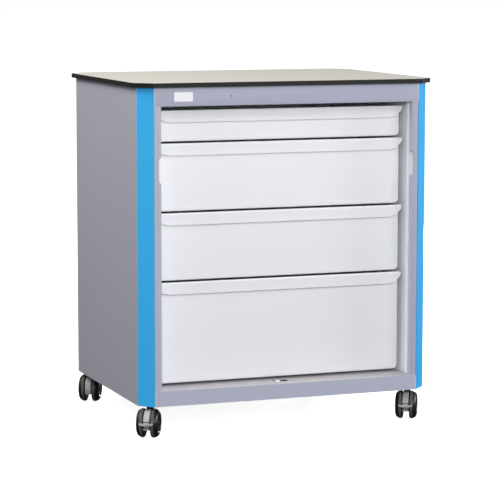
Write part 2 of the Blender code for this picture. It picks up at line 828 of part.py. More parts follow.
def make_wheels(name, swivel):
    """Two wheels, each with a domed outer side on a blind bore."""
    wide, radius = WHEEL_WIDE / MM, WHEEL_RADIUS / MM
    bore, end = (AXLE_RADIUS + AXLE_PLAY) / MM, HUB_DEPTH / MM
    profile = [
        (0, wide - 0.8),
        (18.5, wide - 1.3),
        (20, wide),
        (24.5, wide - 0.6),
        (28.8, wide - 3.6),
        (31.2, wide - 7.5),
        (radius, wide - 10.5),
        (radius, 4.2),
        (28.5, 0),
        (bore, 0),
        (bore, end),
        (0, end),
    ]
    for side, sx in (("left", -1), ("right", 1)):
        wheel = turned(f"castor_wheel_{name}_{side}", profile, 28, TYRE, swivel)
        wheel.rotation_euler = (0, radians(90) * sx, 0)
        wheel.location = (sx * WHEEL_INNER, -TRAIL, WHEEL_RADIUS)


def make_pedal(name, swivel):
    """Brake pedal: an arm between the wheels with a bar behind both treads."""
    pivot = Vector((0, -TRAIL - PEDAL_PIVOT, WHEEL_RADIUS + PEDAL_RISE))
    half = WEB_HALF - 0.4 * MM
    arm = box_mesh(f"pedal_{name}", (-half, -11 * MM, -3.6 * MM), (half, 3 * MM, 3.2 * MM))
    pedal = place(f"brake_pedal_{name}", arm, CASTOR_GREY, swivel, pivot)
    bar_mesh = box_mesh(
        f"pedal_bar_{name}",
        (-PEDAL_HALF, -14 * MM, -2.9 * MM),
        (PEDAL_HALF, -10.2 * MM, 2.1 * MM),
        lambda edge, middle: abs(edge.verts[0].co.z - edge.verts[1].co.z) > MM
        and edge.verts[0].co.y < middle.y,
        3 * MM,
    )
    join(pedal, place(f"pedal_bar_{name}", bar_mesh, None, swivel, pivot))


def make_castor(name, x, y, heading, has_brake):
    swivel = bpy.data.objects.new(f"swivel_{name}", None)
    PARTS.objects.link(swivel)
    swivel.location = (x, y, 0)
    swivel.rotation_euler = (0, 0, radians(heading))
    make_stem(name, swivel)
    make_housing(name, swivel, has_brake)
    make_wheels(name, swivel)
    if has_brake:
        make_pedal(name, swivel)


def main():
    make_worktop()
    make_corner_posts()
    make_side_panels()
    make_back_panel()
    make_strike(make_base_pan())
    make_stiles()
    make_fascia()
    make_label_plate()
    make_liners()
    make_shutter_guides()
    make_shutter()
    for name, top, low in DRAWERS:
        make_drawer(name, top, low)
        make_slides(name, top)
    for castor in CASTORS:
        make_castor(*castor)


main()
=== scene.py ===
"""The ward drawer cabinet, dressed for its studio view."""

import json
from math import atan2, cos, degrees, pi, radians, sin, sqrt, tan

import bmesh
import bpy
from mathutils import Matrix, Vector


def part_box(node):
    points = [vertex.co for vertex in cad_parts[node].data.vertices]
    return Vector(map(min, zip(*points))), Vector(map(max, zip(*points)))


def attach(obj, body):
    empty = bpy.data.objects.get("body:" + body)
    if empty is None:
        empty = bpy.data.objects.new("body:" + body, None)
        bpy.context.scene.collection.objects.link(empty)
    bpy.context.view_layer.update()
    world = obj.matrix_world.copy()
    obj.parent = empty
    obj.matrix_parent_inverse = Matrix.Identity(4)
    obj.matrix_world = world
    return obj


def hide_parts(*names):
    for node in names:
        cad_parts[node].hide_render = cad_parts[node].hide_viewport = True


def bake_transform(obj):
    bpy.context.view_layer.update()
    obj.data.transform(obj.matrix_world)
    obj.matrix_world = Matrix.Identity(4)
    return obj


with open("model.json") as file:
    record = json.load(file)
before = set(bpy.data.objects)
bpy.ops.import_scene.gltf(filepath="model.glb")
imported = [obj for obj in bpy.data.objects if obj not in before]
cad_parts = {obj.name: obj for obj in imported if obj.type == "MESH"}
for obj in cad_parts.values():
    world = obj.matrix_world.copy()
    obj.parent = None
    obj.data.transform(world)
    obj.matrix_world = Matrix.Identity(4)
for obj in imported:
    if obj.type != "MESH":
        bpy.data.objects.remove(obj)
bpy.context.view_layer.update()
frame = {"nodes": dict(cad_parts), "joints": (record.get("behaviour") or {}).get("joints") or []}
NODES = frame["nodes"]
MM = 0.001
SIDES = (("left", -1), ("right", 1))
DRAWERS = ("top_shallow", "upper_medium", "lower_medium", "bottom_deep")
CASTORS = ("front_left", "front_right", "rear_left", "rear_right")

# ------------------------------------------------------------- materials


class Paint:
    """A material whose look is put together from a few procedural layers."""

    TURNED_AWAY = (0.995, 0.86)  # dot products where an edge's painted highlight or wear starts and is full
    FACING = (0.85, 0.97)

    def __init__(self, name, colour, roughness, metallic=0.0, specular=0.5):
        self.material = bpy.data.materials.new(name)
        self.material.use_nodes = True
        self.tree = self.material.node_tree
        self.shader = self.tree.nodes["Principled BSDF"]
        self.shader.inputs["Base Color"].default_value = (*colour, 1)
        self.shader.inputs["Roughness"].default_value = roughness
        self.shader.inputs["Metallic"].default_value = metallic
        self.shader.inputs["Specular IOR Level"].default_value = specular
        self.colour = self.rgb(colour)
        self.rough = roughness
        self.place = self.add("ShaderNodeTexCoord").outputs["Object"]

    def add(self, kind, **settings):
        """Make a node; settings go to its inputs or else to its properties."""
        node = self.tree.nodes.new(kind)
        for key, value in settings.items():
            if key in node.inputs.keys():
                node.inputs[key].default_value = value
            else:
                setattr(node, key, value)
        return node

    def link(self, source, target):
        self.tree.links.new(source, target)

    def rgb(self, colour):
        node = self.add("ShaderNodeRGB")
        node.outputs[0].default_value = (*colour, 1)
        return node.outputs[0]

    def stretched(self, scale):
        """Texture space squeezed by a different factor along each axis."""
        node = self.add("ShaderNodeMapping")
        node.inputs["Scale"].default_value = scale
        self.link(self.place, node.inputs["Vector"])
        return node.outputs["Vector"]

    def ramp(self, source, low, high, start=0.0, end=1.0):
        """Runs from start where the source is low to end where it is high."""
        node = self.add("ShaderNodeMapRange", clamp=True)
        limits = (("From Min", low), ("From Max", high), ("To Min", start), ("To Max", end))
        for name, value in limits:
            node.inputs[name].default_value = value
        self.link(source, node.inputs["Value"])
        return node.outputs["Result"]

    def noise(self, scale, detail=3.0, low=0.35, high=0.65, where=None):
        """Noise with its middle range stretched to 0..1; scale is per metre."""
        node = self.add("ShaderNodeTexNoise", Scale=scale, Detail=detail)
        self.link(where or self.place, node.inputs["Vector"])
        return self.ramp(node.outputs["Fac"], low, high)

    def math(self, operation, a, b=0.0):
        """Clamped arithmetic on sockets or plain numbers."""
        node = self.add("ShaderNodeMath", operation=operation, use_clamp=True)
        for socket, value in zip(node.inputs, (a, b)):
            if isinstance(value, (int, float)):
                socket.default_value = value
            else:
                self.link(value, socket)
        return node.outputs["Value"]

    def mix(self, mask, other, amount=1.0):
        """Blend the colour so far towards another where the mask is white."""
        node = self.add("ShaderNodeMix", data_type="RGBA")
        self.link(self.math("MULTIPLY", mask, amount), node.inputs["Factor"])
        self.link(self.colour, node.inputs["A"])
        node.inputs["B"].default_value = (*other, 1)
        self.colour = node.outputs["Result"]
        self.link(self.colour, self.shader.inputs["Base Color"])

    def roughen(self, mask, to):
        """Roughness runs from its base value to 'to' where the mask is white."""
        self.link(self.ramp(mask, 0, 1, self.rough, to), self.shader.inputs["Roughness"])

    def bump(self, *layers):
        """Layers are (height source, depth in metres)."""
        normal = None
        for source, depth in layers:
            node = self.add("ShaderNodeBump", Strength=1.0, Distance=depth)
            self.link(source, node.inputs["Height"])
            if normal is not None:
                self.link(normal, node.inputs["Normal"])
            normal = node.outputs["Normal"]
        self.link(normal, self.shader.inputs["Normal"])

    def edges(self, radius):
        """White along outer edges, where the rounded normal turns away."""
        soft = self.add("ShaderNodeBevel", samples=4)
        soft.inputs["Radius"].default_value = radius
        hard = self.add("ShaderNodeNewGeometry")
        dot = self.add("ShaderNodeVectorMath", operation="DOT_PRODUCT")
        self.link(soft.outputs["Normal"], dot.inputs[0])
        self.link(hard.outputs["Normal"], dot.inputs[1])
        return self.ramp(dot.outputs["Value"], *self.TURNED_AWAY)

    def facing(self, direction):
        """White where the surface looks along a direction."""
        normal = self.add("ShaderNodeNewGeometry")
        dot = self.add("ShaderNodeVectorMath", operation="DOT_PRODUCT")
        self.link(normal.outputs["True Normal"], dot.inputs[0])
        dot.inputs[1].default_value = direction
        return self.ramp(dot.outputs["Value"], *self.FACING)

    def coordinate(self, axis):
        """The place along one axis, in metres."""
        parts = self.add("ShaderNodeSeparateXYZ")
        self.link(self.place, parts.inputs[0])
        return parts.outputs[axis]

    def height_band(self, low, high):
        """0 below low, 1 above high, along Z."""
        return self.ramp(self.coordinate("Z"), low, high)


COAT_ROUGHNESS = 0.42
FOLD_BLEND = 0.83 * MM  # the fold's painted highlight comes in over this width


def powder_coat(name, colour, light, dark, specular=0.45, lit_face=None, fold=None):
    """Powder-coated steel: orange peel, faint clouds, a painted highlight and
    patchy wear along the edges, and a few dark scuffs low down; the argument
    before fold is a direction whose faces get painted light, the paler colour
    they are painted and the streaks' scale; past |X| = fold a painted
    highlight pales the folded edge."""
    coat = Paint(name, colour, COAT_ROUGHNESS, specular=specular)
    clouds = coat.noise(5.0, 4.0, 0.3, 0.7)
    coat.mix(clouds, dark, 0.35)
    rim = coat.edges(1.8 * MM)
    # painted highlight: every outer edge painted paler; then patchy wear along the edges
    coat.mix(rim, light, 0.35)
    coat.mix(coat.math("MULTIPLY", rim, coat.noise(60.0, 4.0, 0.5, 0.65)), light, 0.5)
    if fold:
        across = coat.add("ShaderNodeMath", operation="ABSOLUTE")
        coat.link(coat.coordinate("X"), across.inputs[0])
        # painted highlight: past the fold the coat is painted paler
        coat.mix(coat.ramp(across.outputs["Value"], fold, fold + FOLD_BLEND), light, 0.8)
    if lit_face:
        direction, lit_colour, streak = lit_face
        streaks = coat.noise(1.0, 4.0, 0.25, 0.75, coat.stretched(streak))
        even = coat.math("ADD", coat.math("MULTIPLY", streaks, 0.4), 0.6)
        # painted light: faces looking along the direction are painted paler, streaked
        coat.mix(coat.math("MULTIPLY", coat.facing(direction), even), lit_colour, 0.9)
    low = coat.math("SUBTRACT", 1.0, coat.height_band(0.07, 0.14))
    scuffs = coat.noise(1.0, 5.0, 0.55, 0.75, coat.stretched((40, 40, 160)))
    coat.mix(coat.math("MULTIPLY", low, scuffs), dark, 0.35)
    coat.roughen(coat.noise(90.0, 5.0, 0.35, 0.7), COAT_ROUGHNESS + 0.07)
    coat.bump((coat.noise(420.0, 2.0), 0.00003), (coat.noise(1500.0, 1.0), 0.000008))
    return coat.material


def moulded(name, colour, roughness, dark=None, specular=0.5, edge=None, shade_layers=()):
    """Moulded plastic: fine spark-eroded grain, a faint flow pattern and, as a
    painted highlight, paler edges; the last argument holds (full shade height,
    unshaded height, colour) layers of painted shade that fade upwards."""
    plastic = Paint(name, colour, roughness, specular=specular)
    dark = dark or tuple(0.93 * c for c in colour)
    plastic.mix(plastic.noise(4.0, 3.0, 0.3, 0.7), dark, 0.30)
    handled = plastic.noise(22.0, 5.0, 0.5, 0.72)
    plastic.mix(handled, dark, 0.22)
    for low, high, tone in shade_layers:
        # painted shade: each layer darkens the plastic towards the bottom
        plastic.mix(plastic.math("SUBTRACT", 1.0, plastic.height_band(low, high)), tone)
    if edge:
        # painted highlight: outer edges painted paler
        plastic.mix(plastic.edges(1.5 * MM), edge, 0.9)
    plastic.roughen(handled, roughness + 0.12)
    plastic.bump((plastic.noise(2600.0, 2.0), 0.000012), (plastic.noise(14.0, 2.0), 0.00006))
    return plastic.material


def laminate_skin():
    """Matt decor laminate: pearl fleck on a warm pale grey."""
    top = Paint("laminate_skin", (0.618, 0.606, 0.570), 0.46)
    top.mix(top.noise(900.0, 2.0, 0.55, 0.75), (0.53, 0.515, 0.473), 0.35)
    top.mix(top.noise(240.0, 3.0, 0.58, 0.74), (0.72, 0.71, 0.672), 0.45)
    top.mix(top.noise(3.0, 3.0, 0.3, 0.7), (0.600, 0.588, 0.548), 0.5)
    wiped = top.noise(1.0, 4.0, 0.5, 0.7, top.stretched((14, 70, 14)))
    top.roughen(wiped, 0.56)
    top.bump((top.noise(1800.0, 2.0), 0.00002), (top.noise(260.0, 2.0), 0.00002))
    return top.material


def laminate_core():
    """Machined edge of the black phenolic core: paper layers and cutter
    marks."""
    core = Paint("laminate_core", (0.006, 0.006, 0.006), 0.40, specular=0.22)
    layers = core.noise(1.0, 3.0, 0.4, 0.7, core.stretched((6, 6, 2600)))
    core.mix(layers, (0.016, 0.015, 0.014), 0.7)
    core.mix(core.noise(80.0, 4.0, 0.6, 0.85), (0.035, 0.033, 0.030), 0.5)
    core.roughen(core.noise(160.0, 4.0, 0.4, 0.7), 0.6)
    core.bump((layers, 0.000015))
    return core.material


def zinc(name, colour, roughness):
    """Zinc-plated steel: spangle and drawn lines along the section."""
    steel = Paint(name, colour, roughness, metallic=1.0)
    steel.mix(steel.noise(120.0, 4.0, 0.35, 0.7), tuple(0.8 * c for c in colour), 0.6)
    drawn = steel.noise(1.0, 3.0, 0.35, 0.7, steel.stretched((1500, 8, 1500)))
    steel.roughen(drawn, roughness + 0.2)
    steel.bump((drawn, 0.00002))
    return steel.material


def tread_rubber():
    """Soft grey tread with dust rubbed into it."""
    rubber = Paint("tread_rubber", (0.085, 0.082, 0.076), 0.62, specular=0.25)
    rubber.mix(rubber.noise(70.0, 5.0, 0.4, 0.7), (0.10, 0.096, 0.085), 0.55)
    rubber.mix(rubber.noise(320.0, 3.0, 0.6, 0.75), (0.03, 0.03, 0.03), 0.5)
    rubber.roughen(rubber.noise(160.0, 4.0, 0.4, 0.7), 0.85)
    rubber.bump((rubber.noise(1100.0, 3.0), 0.00004))
    return rubber.material


FOLD = 307.6 * MM  # from the middle to the front frame's folded edge
UPRIGHT_STREAKS = (60, 60, 6)
LEVEL_STREAKS = (7, 45, 45)
# painted light: the stiles' inward returns and the plinth's upward faces are painted paler
LIT_RETURN_PALE = (0.66, 0.68, 0.73)
LIT_RIGHT_FACES = ((1, 0, 0), LIT_RETURN_PALE, UPRIGHT_STREAKS)
LIT_LEFT_FACES = ((-1, 0, 0), LIT_RETURN_PALE, UPRIGHT_STREAKS)
LIT_LEDGE = ((0, 0, 1), (0.575, 0.55, 0.54), LEVEL_STREAKS)

# coat, pale colour for edge wear and painted edge highlights, colour of clouds and dark scuffs
GREY_PAINT = ((0.378, 0.394, 0.490), (0.56, 0.57, 0.62), (0.355, 0.370, 0.455))
# painted shade: a darker copy of the grey coat for the right stile
RIGHT_SHADED_PAINT = ((0.325, 0.336, 0.445), (0.52, 0.53, 0.59), (0.307, 0.318, 0.415))
# painted shade: a darker copy of the grey coat for the fascia
FASCIA_SHADED_PAINT = ((0.353, 0.368, 0.465), (0.54, 0.55, 0.60), (0.332, 0.346, 0.432))
LINER_PAINT = ((0.88, 0.92, 0.97), (0.92, 0.94, 0.97), (0.85, 0.89, 0.94))
BLUE_PAINT = ((0.036, 0.365, 0.745), (0.15, 0.50, 0.84), (0.034, 0.34, 0.70))

GREY = powder_coat("grey_powder_coat", *GREY_PAINT)
FASCIA = powder_coat("fascia_shaded_powder_coat", *FASCIA_SHADED_PAINT, fold=FOLD)
PLINTH = powder_coat("plinth_powder_coat", *GREY_PAINT, fold=FOLD, lit_face=LIT_LEDGE)
STILE = {
    "left": powder_coat("left_stile_powder_coat", *GREY_PAINT, fold=FOLD, lit_face=LIT_RIGHT_FACES),
    "right": powder_coat("right_stile_shaded_powder_coat", *RIGHT_SHADED_PAINT, fold=FOLD, lit_face=LIT_LEFT_FACES),
}
LINER = powder_coat("liner_powder_coat", *LINER_PAINT)
BLUE = powder_coat("blue_powder_coat", *BLUE_PAINT, specular=0.25)
SKIN = laminate_skin()
CORE = laminate_core()

# painted shade, darker towards the bottom: (full shade height, unshaded height, colour)
DOWNWARD_SHADE = (0.10, 0.56, (0.700, 0.700, 0.727))
FOOT_SHADE = (0.112, 0.150, (0.665, 0.665, 0.690))
TRAY_WHITE = (0.760, 0.760, 0.790)
TRAY_FLOW = (0.740, 0.737, 0.750)
# painted highlight colour for the trays' outer edges
EDGE_HIGHLIGHT = (0.92, 0.92, 0.93)
TRAY = moulded("tray_moulding", TRAY_WHITE, 0.36, TRAY_FLOW, edge=EDGE_HIGHLIGHT, shade_layers=(DOWNWARD_SHADE, FOOT_SHADE))
# painted highlight: a paler copy of the tray plastic for the rounded front edges
TRAY_HIGHLIGHT = moulded("tray_highlight_moulding", (0.93, 0.93, 0.935), 0.30, (0.90, 0.90, 0.90))
GUIDE = moulded("guide_moulding", (0.88, 0.92, 0.97), 0.42)
ZINC = zinc("zinc_plate", (0.74, 0.75, 0.77), 0.36)
BLACK_ZINC = zinc("black_zinc", (0.035, 0.035, 0.04), 0.35)
BAR = zinc("anodised_bar", (0.09, 0.09, 0.10), 0.32)
WHEEL = moulded("wheel_moulding", (0.007, 0.007, 0.008), 0.30, (0.014, 0.013, 0.012), specular=0.4)
TREAD = tread_rubber()
FORK = moulded("castor_moulding", (0.375, 0.378, 0.39), 0.42, (0.15, 0.148, 0.147))
PEDAL = moulded("pedal_moulding", (0.36, 0.36, 0.375), 0.36, (0.27, 0.27, 0.285))
SLAT = moulded("slat_moulding", (0.47, 0.49, 0.54), 0.40)
STUD = moulded("stud_moulding", (0.86, 0.86, 0.86), 0.25)
CARD = moulded("label_card", (0.78, 0.78, 0.82), 0.5)

# ------------------------------------------------------------- geometry


def rectangle(low_u, low_v, high_u, high_v):
    return [(low_u, low_v), (high_u, low_v), (high_u, high_v), (low_u, high_v)]


def fillet(points, radii, steps=6):
    """Round an outline's corners; radii holds one radius per corner, or is
    one radius for all of them."""
    rounded = []
    count = len(points)
    if not isinstance(radii, list):
        radii = [radii] * count
    for i, (point, radius) in enumerate(zip(points, radii)):
        corner = Vector(point)
        back = (Vector(points[i - 1]) - corner).normalized()
        ahead = (Vector(points[(i + 1) % count]) - corner).normalized()
        half = back.angle(ahead) / 2
        centre = corner + (back + ahead).normalized() * radius / sin(half)
        start = corner + back * radius / tan(half) - centre
        stop = corner + ahead * radius / tan(half) - centre
        turn = start.angle_signed(stop)
        for k in range(steps + 1):
            rounded.append(centre + Matrix.Rotation(-turn * k / steps, 2) @ start)
    return rounded


def millimetres(points):
    """Points that are written in millimetres, in metres."""
    return [(a * MM, b * MM) for a, b in points]


def arc(centre, radius, start, stop, steps):
    """Points round a centre between two angles in degrees."""
    angles = [radians(start + (stop - start) * k / steps) for k in range(steps + 1)]
    return [Vector((centre[0] + radius * cos(a), centre[1] + radius * sin(a))) for a in angles]


SWEEP = {
    "Z": lambda u, v, w: (u, v, w),
    "X": lambda u, v, w: (w, u, v),
    "Y": lambda u, v, w: (u, w, v),
}


def prism(work, outline, axis, low, high):
    """Add an outline drawn out between low and high along an axis; returns
    its faces, the one at the low end first."""
    place = SWEEP[axis]
    ends = [[work.verts.new(place(p[0], p[1], w)) for p in outline] for w in (low, high)]
    faces = [work.faces.new(ends[0]), work.faces.new(reversed(ends[1]))]
    count = len(outline)
    for i in range(count):
        j = (i + 1) % count
        faces.append(work.faces.new((ends[0][i], ends[1][i], ends[1][j], ends[0][j])))
    return faces


def block(work, low, high):
    """Add a box between two corners."""
    prism(work, rectangle(low[0], low[1], high[0], high[1]), "Z", low[2], high[2])


def lathe(work, profile, steps, matrix, finishes=None):
    """Turn (radius, height) points round Z; finishes holds one material
    index per profile step."""
    rings = []
    for radius, height in profile:
        if radius == 0:
            rings.append([work.verts.new(matrix @ Vector((0, 0, height)))])
            continue
        turned = []
        for k in range(steps):
            a = 2 * pi * k / steps
            spot = Vector((radius * cos(a), radius * sin(a), height))
            turned.append(work.verts.new(matrix @ spot))
        rings.append(turned)
    for n, (first, second) in enumerate(zip(rings, rings[1:])):
        for k in range(steps):
            j = (k + 1) % steps
            corners = [first[k % len(first)], second[k % len(second)]]
            corners += [second[j % len(second)], first[j % len(first)]]
            face = work.faces.new(list(dict.fromkeys(corners)))
            if finishes:
                face.material_index = finishes[n]


def loose(name, work):
    """A bare object made from bmesh work."""
    bmesh.ops.recalc_face_normals(work, faces=work.faces)
    mesh = bpy.data.meshes.new(name)
    work.to_mesh(mesh)
    work.free()
    made = bpy.data.objects.new(name, mesh)
    bpy.context.scene.collection.objects.link(made)
    return made


def work_again(made):
    """Take a bare object apart into bmesh work."""
    work = bmesh.new()
    work.from_mesh(made.data)
    bpy.data.objects.remove(made, do_unlink=True)
    return work


def piece(name, work, materials, body, replaces=(), smooth=40, bevel=None):
    """Turn bmesh work into a visible piece that rides on a CAD body."""
    made = loose(name, work)
    mesh = made.data
    for material in materials if isinstance(materials, (list, tuple)) else [materials]:
        mesh.materials.append(material)
    mesh.shade_smooth()
    mesh.set_sharp_from_angle(angle=radians(smooth))
    if bevel:
        add_bevel(made, *bevel)
    if body:
        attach(made, body)
    if replaces:
        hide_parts(*replaces)
    return made


def add_bevel(made, width, segments=3, angle=32):
    """Round the edges that turn by more than an angle in degrees."""
    step = made.modifiers.new("edge_radius", "BEVEL")
    step.width = width
    step.segments = segments
    step.limit_method = "ANGLE"
    step.angle_limit = radians(angle)
    step.harden_normals = True
    step.miter_outer = "MITER_ARC"


def boolean(made, other, how="DIFFERENCE"):
    """Apply an exact Boolean and drop the other object."""
    step = made.modifiers.new(how, "BOOLEAN")
    step.operation = how
    step.solver = "EXACT"
    step.object = other
    bpy.context.view_layer.update()
    seen = made.evaluated_get(bpy.context.evaluated_depsgraph_get())
    mesh = bpy.data.meshes.new_from_object(seen)
    made.modifiers.remove(step)
    old, made.data = made.data, mesh
    bpy.data.meshes.remove(old)
    bpy.data.objects.remove(other, do_unlink=True)


def dress(node, material, bevel=0.5 * MM, segments=2):
    """Give a CAD node that stays its finish and rolled edges."""
    item = NODES[node]
    normals = item.data.attributes.get("custom_normal")
    if normals:
        item.data.attributes.remove(normals)
    item.data.materials.clear()
    item.data.materials.append(material)
    item.data.shade_smooth()
    weld = item.modifiers.new("weld", "WELD")
    weld.merge_threshold = 0.00001
    flat = item.modifiers.new("flat", "DECIMATE")
    flat.decimate_type = "DISSOLVE"
    flat.angle_limit = radians(0.5)
    add_bevel(item, bevel, segments)


# ------------------------------------------------------------- worktop

LEVEL = 0.97  # a face looks along an axis when its normal reaches this
CORNER_CUT = 35.86 * MM  # along each edge, from the sharp corner to the cut
CUT_ROUND = 6 * MM
RIM_ROUND = 1.1 * MM


def worktop():
    """The laminate board: cut corners, a rolled rim, skin above its core."""
    low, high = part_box("worktop")
    half_x, half_y = high.x, high.y
    corners = []
    for sx, sy in ((1, 1), (-1, 1), (-1, -1), (1, -1)):
        near_x = (sx * half_x, sy * (half_y - CORNER_CUT))
        near_y = (sx * (half_x - CORNER_CUT), sy * half_y)
        corners += [near_x, near_y] if sx == sy else [near_y, near_x]
    work = bmesh.new()
    prism(work, fillet(corners, CUT_ROUND), "Z", low.z, high.z)
    rim = [e for e in work.edges if abs(e.verts[0].co.z - e.verts[1].co.z) < 1e-6]
    bmesh.ops.bevel(work, geom=rim, offset=RIM_ROUND, segments=3, profile=0.5, affect="EDGES")
    work.normal_update()
    for face in work.faces:
        face.material_index = 0 if abs(face.normal.z) > LEVEL else 1
    piece("worktop_board", work, [SKIN, CORE], "cabinet", ["worktop"], 25)


# ------------------------------------------------------------- drawers

TRAY_HALF = 286 * MM
TRAY_WALL = 3 * MM
TRAY_CORNER = 3 * MM
TRAY_LENGTH = 398 * MM
OUTER_ROUND = (10 * MM, 3 * MM)  # foot of the sides, of the front and back
INNER_ROUND = (7.5 * MM, 5 * MM)
INNER_RISE = 0.75  # the inner foot's height over the outer one's
FOOT_STEPS = [h * MM for h in (0, 0.25, 0.8, 1.6, 3, 5, 7.5, 10)]
LIP_PROUD = 7 * MM  # lip in front of the tray
LIP_HALF = 291 * MM
LIP_TALL = 26 * MM
LIP_EDGE = 1.7 * MM
LIP_ROOT = 2 * MM  # lip's back inside the tray's front wall
# painted highlight: how far behind the tray's front the rounded edges are painted paler
HIGHLIGHT_DEPTH = 4 * MM
DIVIDED_TALL = 100 * MM  # a tray taller than this takes dividers
RIB_PITCH = 71 * MM
RIB_DEEP = 1.6 * MM
RIB_HALF = 0.7 * MM
RIB_SUNK = 0.4 * MM  # root of a rib inside the wall
RIB_FOOT = 4 * MM
RIB_HEAD = 9 * MM  # below the tray's top
SLOT = 2.2 * MM  # from a divider's middle to the rib on each side


def ring(work, half, near, far, corner, z):
    """One level ring of vertices of a tray."""
    outline = fillet(rectangle(-half, near, half, far), corner, 5)
    return [work.verts.new((p[0], p[1], z)) for p in outline]


def bridge(work, first, second):
    """Join two rings that have the same number of vertices."""
    count = len(first)
    for i in range(count):
        j = (i + 1) % count
        work.faces.new((first[i], first[j], second[j], second[i]))


def rise(radius, height):
    """How far a quarter round of this radius is inset at a height."""
    return radius - sqrt(max(0.0, radius**2 - (radius - height) ** 2)) if height < radius else 0.0


def tray(work, low, top, near, far):
    """The moulded tray: outer skin, rolled rim and inner skin as one form."""
    half, wall, corner = TRAY_HALF, TRAY_WALL, TRAY_CORNER
    rings = []
    for h in FOOT_STEPS:
        side, end = (rise(radius, h) for radius in OUTER_ROUND)
        rings.append(ring(work, half - side, near + end, far - end, corner, low + h))
    rings.append(ring(work, half, near, far, corner, top - 4.2 * MM))
    rings.append(ring(work, half + 0.4 * MM, near, far + 0.4 * MM, corner, top - 3.3 * MM))
    outer_rim = [(3.2, 3), (3.8, 2.6), (4, 1.8), (4, 1.1), (3.7, 0.4), (3, 0)]
    for out, depth in millimetres(outer_rim):
        rings.append(ring(work, half + out, near + 0.2 * MM, far + 2 * out, 2 * corner, top - depth))
    for inset, depth in millimetres([(1.6, 0), (2.5, 0.4), (3, 1.4)]):
        rings.append(ring(work, half - inset, near + inset, far - inset, corner, top - depth))
    for h in [INNER_RISE * step for step in reversed(FOOT_STEPS)]:
        side, end = (wall + rise(radius, h) for radius in INNER_ROUND)
        rings.append(ring(work, half - side, near + end, far - end, corner, low + wall + h))
    for first, second in zip(rings, rings[1:]):
        bridge(work, first, second)
    work.faces.new(rings[0])
    work.faces.new(reversed(rings[-1]))


def lip(work, top, face, back):
    """The pull lip across the front, its ends swept in to the tray's sides."""
    radius, drop = 9 * MM, 5 * MM
    crown = [(-2, 0), (-0.5, -0.6), (0, -2), (0, -5)]
    right = [Vector((LIP_HALF + x, top + z)) for x, z in millimetres(crown)]
    right += arc((LIP_HALF - radius, top - drop), radius, 0, -62, 6)[1:]
    sweep = [(-6.4, 14.2), (-8, 15.6), (-10, 17.4), (-12.4, 19.6), (-15.2, 21.8)]
    sweep += [(-18.4, 23.6), (-22.2, 25), (-26.4, 25.7)]
    right += [Vector((LIP_HALF + x, top - z)) for x, z in millimetres(sweep)]
    right.append(Vector((LIP_HALF - 31 * MM, top - LIP_TALL)))
    outline = right + [Vector((-p.x, p.y)) for p in reversed(right)]
    front = prism(work, outline, "Y", face, back)[0]
    rim = list(front.edges)
    bmesh.ops.bevel(work, geom=rim, offset=LIP_EDGE, segments=4, profile=0.5, affect="EDGES")


def drawer(name, body):
    """Tray and lip as one moulding, its rounded front edges given a painted
    highlight."""
    low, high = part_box(name)
    near = low.y + LIP_PROUD
    far = near + TRAY_LENGTH
    work = bmesh.new()
    tray(work, low.z, high.z, near, far)
    shape = loose(f"{name}_shape", work)
    work = bmesh.new()
    lip(work, high.z, low.y, near + LIP_ROOT)
    boolean(shape, loose(f"{name}_lip", work), "UNION")
    work = work_again(shape)
    if high.z - low.z > DIVIDED_TALL:
        divider_ribs(work, low.z + RIB_FOOT, high.z - RIB_HEAD, near, far)
    work.normal_update()
    # painted highlight: rounded faces near the front take the paler copy
    for face in work.faces:
        rounded = -LEVEL < face.normal.y < -0.2
        face.material_index = int(rounded and face.calc_center_median().y < near + HIGHLIGHT_DEPTH)
    piece(f"{name}_tray", work, [TRAY, TRAY_HIGHLIGHT], body, [name], 32)


def divider_ribs(work, foot, head, near, far):
    """Pairs of small upright ribs that hold dividers, on all four walls."""
    inner = TRAY_HALF - TRAY_WALL
    ends = ((near + TRAY_WALL, 1), (far - TRAY_WALL, -1))
    for n in range(-3, 4):
        for side in (-SLOT, SLOT):
            x = n * RIB_PITCH + side
            for wall, sign in ends:
                ys = sorted((wall - sign * RIB_SUNK, wall + sign * RIB_DEEP))
                block(work, (x - RIB_HALF, ys[0], foot), (x + RIB_HALF, ys[1], head))
    middle = (near + far) / 2
    for n in (-1.5, -0.5, 0.5, 1.5):
        for side in (-SLOT, SLOT):
            y = middle + n * RIB_PITCH + side
            for sign in (-1, 1):
                xs = sorted((sign * (inner + RIB_SUNK), sign * (inner - RIB_DEEP)))
                block(work, (xs[0], y - RIB_HALF, foot), (xs[1], y + RIB_HALF, head))


# ------------------------------------------------------------- slides

SHEET = 1.2 * MM
FORM = 2.2 * MM  # outer radius of a rolled corner
CLEAR = 0.3 * MM  # kept between the rail's edge and the upright it passes
RAIL_HEAD = 70 * MM  # first screw, from the rail's front end
RAIL_TAIL = 40 * MM  # last screw, from its rear end
LEVER_SUNK = 0.2 * MM  # between the rail's web and the lever
LEVER_PROUD = 2.6 * MM


def rolled_section(web, tip, low, high):
    """A C section with rolled corners: (x, z) round its outline."""
    inner = web + SHEET * (1 if tip > web else -1)
    points = [(web, low), (web, high), (tip, high), (tip, high - SHEET)]
    points += [(inner, high - SHEET), (inner, low + SHEET), (tip, low + SHEET), (tip, low)]
    end, inside = 0.5 * MM, FORM - SHEET
    return fillet(points, [FORM, FORM, end, end, inside, inside, end, end], 5)


def slide_channel(size, side, sign):
    """Rolled steel channel on the liner, open towards the drawer."""
    node = f"slide_channel_{size}_{side}"
    low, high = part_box(node)
    web, tip = (high.x, low.x) if sign > 0 else (low.x, high.x)
    work = bmesh.new()
    prism(work, rolled_section(web, tip, low.z, high.z), "Y", low.y, high.y)
    piece(f"{node}_steel", work, ZINC, "cabinet", [node], 30)


